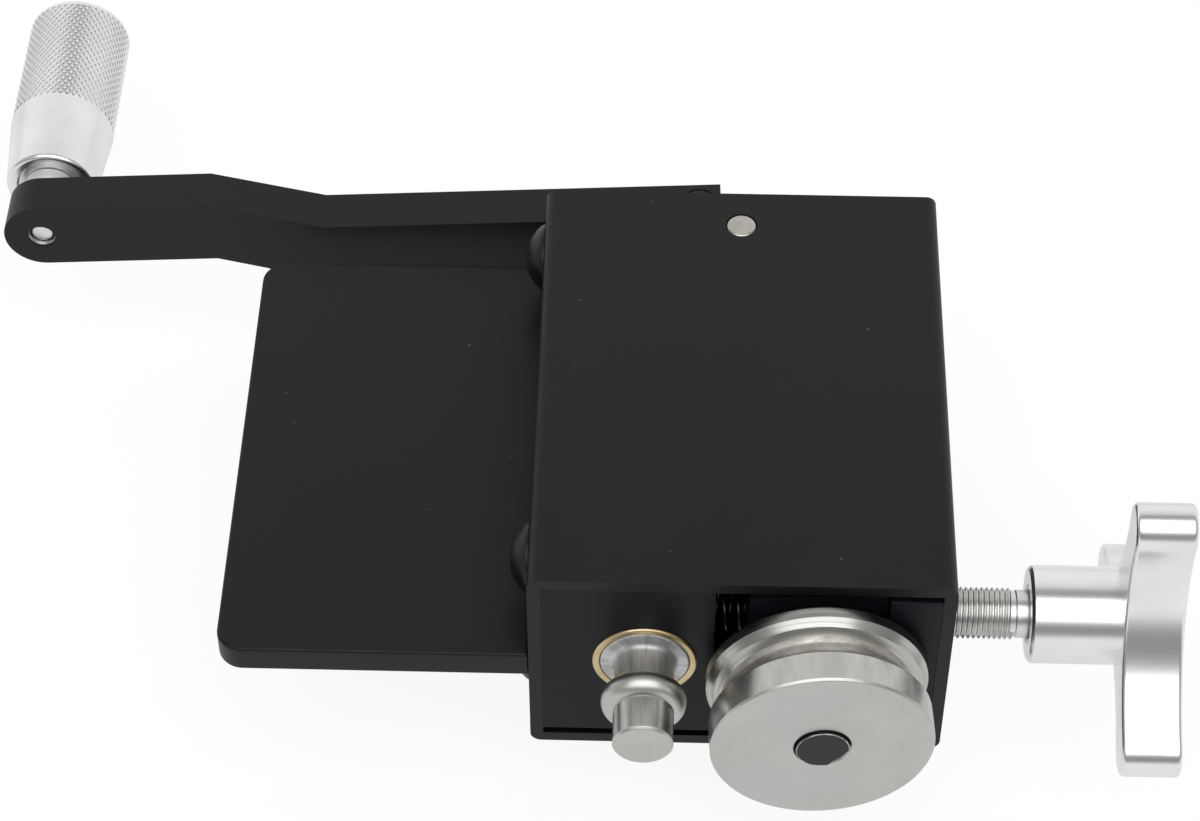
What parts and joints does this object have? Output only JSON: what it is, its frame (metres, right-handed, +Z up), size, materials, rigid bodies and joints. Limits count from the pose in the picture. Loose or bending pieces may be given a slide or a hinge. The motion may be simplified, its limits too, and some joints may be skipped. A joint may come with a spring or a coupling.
{
  "type": "tube beader",
  "caption": "Hand-cranked tube beader: a bead roller on a cranked shaft and a grooved roller on a swinging block, closed by a star-knob screw, in a black tube housing with a vise plate.",
  "frame": {"origin": "centre of the housing's bottom face", "axes": "+X right towards the star knob, +Y back towards the crank, +Z up"},
  "size_m": [0.3127, 0.2576, 0.0727],
  "materials": {
    "satin_black": "satin black coating",
    "black_block": "black anodised, machined",
    "bright_steel": "turned and polished",
    "zinc_steel": "zinc plated",
    "bronze": "oiled bearing bronze",
    "bare_aluminium": "satin, tumbled",
    "dark_fastener": "black oxide"
  },
  "bodies": {
    "frame": {"housing": "satin_black", "vise_plate": "satin_black", "plate_weld": "satin_black", "drive_block": "black_block", "drive_bush_front": "bronze", "drive_bush_rear": "bronze", "block_screws": "dark_fastener", "pivot_pin": "bright_steel", "pivot_washers": "bronze", "nut_block": "black_block", "nut_block_screws": "dark_fastener", "return_spring": "zinc_steel"},
    "crank": {"drive_shaft": "bright_steel", "drive_collar": "zinc_steel", "collar_set_screw": "dark_fastener", "crank_arm": "satin_black", "crank_clamp_screw": "dark_fastener", "handle_spindle": "zinc_steel"},
    "grip": {"handle_grip": "bare_aluminium", "grip_retaining_ring": "dark_fastener"},
    "swing": {"swing_block": "black_block", "idler_bush_front": "bronze", "idler_bush_rear": "bronze"},
    "idler": {"idler_shaft": "dark_fastener", "idler_thrust_washer": "bronze", "idler_retaining_ring": "dark_fastener", "groove_roller": "bright_steel", "roller_set_screw": "dark_fastener"},
    "pad": {"thrust_pad": "bright_steel"},
    "adjuster": {"adjusting_screw": "zinc_steel", "star_knob": "bare_aluminium", "knob_set_screw": "dark_fastener"}
  },
  "joints": [
    {"name": "crank_turn", "type": "hinge", "parent": "frame", "child": "crank", "pos_m": [-0.0227, 0, 0.0335], "axis": [0, 1, 0], "continuous": true},
    {"name": "grip_spin", "type": "hinge", "parent": "crank", "child": "grip", "pos_m": [-0.19117, 0.13, 0.0229], "axis": [0, 1, 0], "continuous": true},
    {"name": "swing_pivot", "type": "hinge", "parent": "frame", "child": "swing", "pos_m": [0, 0.0535, 0.0335], "axis": [0, 0, 1], "range_deg": [-3.14, 0], "deforming": ["return_spring"]},
    {"name": "idler_spin", "type": "hinge", "parent": "swing", "child": "idler", "pos_m": [0.01839, -0.06417, 0.0335], "axis": [-0.055, 0.9985, 0], "continuous": true},
    {"name": "screw_feed", "type": "slide", "parent": "frame", "child": "pad", "axis": [-1, 0, 0], "range_m": [0, 0.00562]},
    {"name": "knob_turn", "type": "hinge", "parent": "pad", "child": "adjuster", "pos_m": [0.06, -0.0483, 0.0335], "axis": [-1, 0, 0], "range_deg": [0, 1592]}
  ],
  "couplings": [
    {"joint": "screw_feed", "follows": "knob_turn", "m_per_rad": 0.00020213},
    {"joint": "swing_pivot", "follows": "knob_turn", "ratio": -0.0019685}
  ]
}
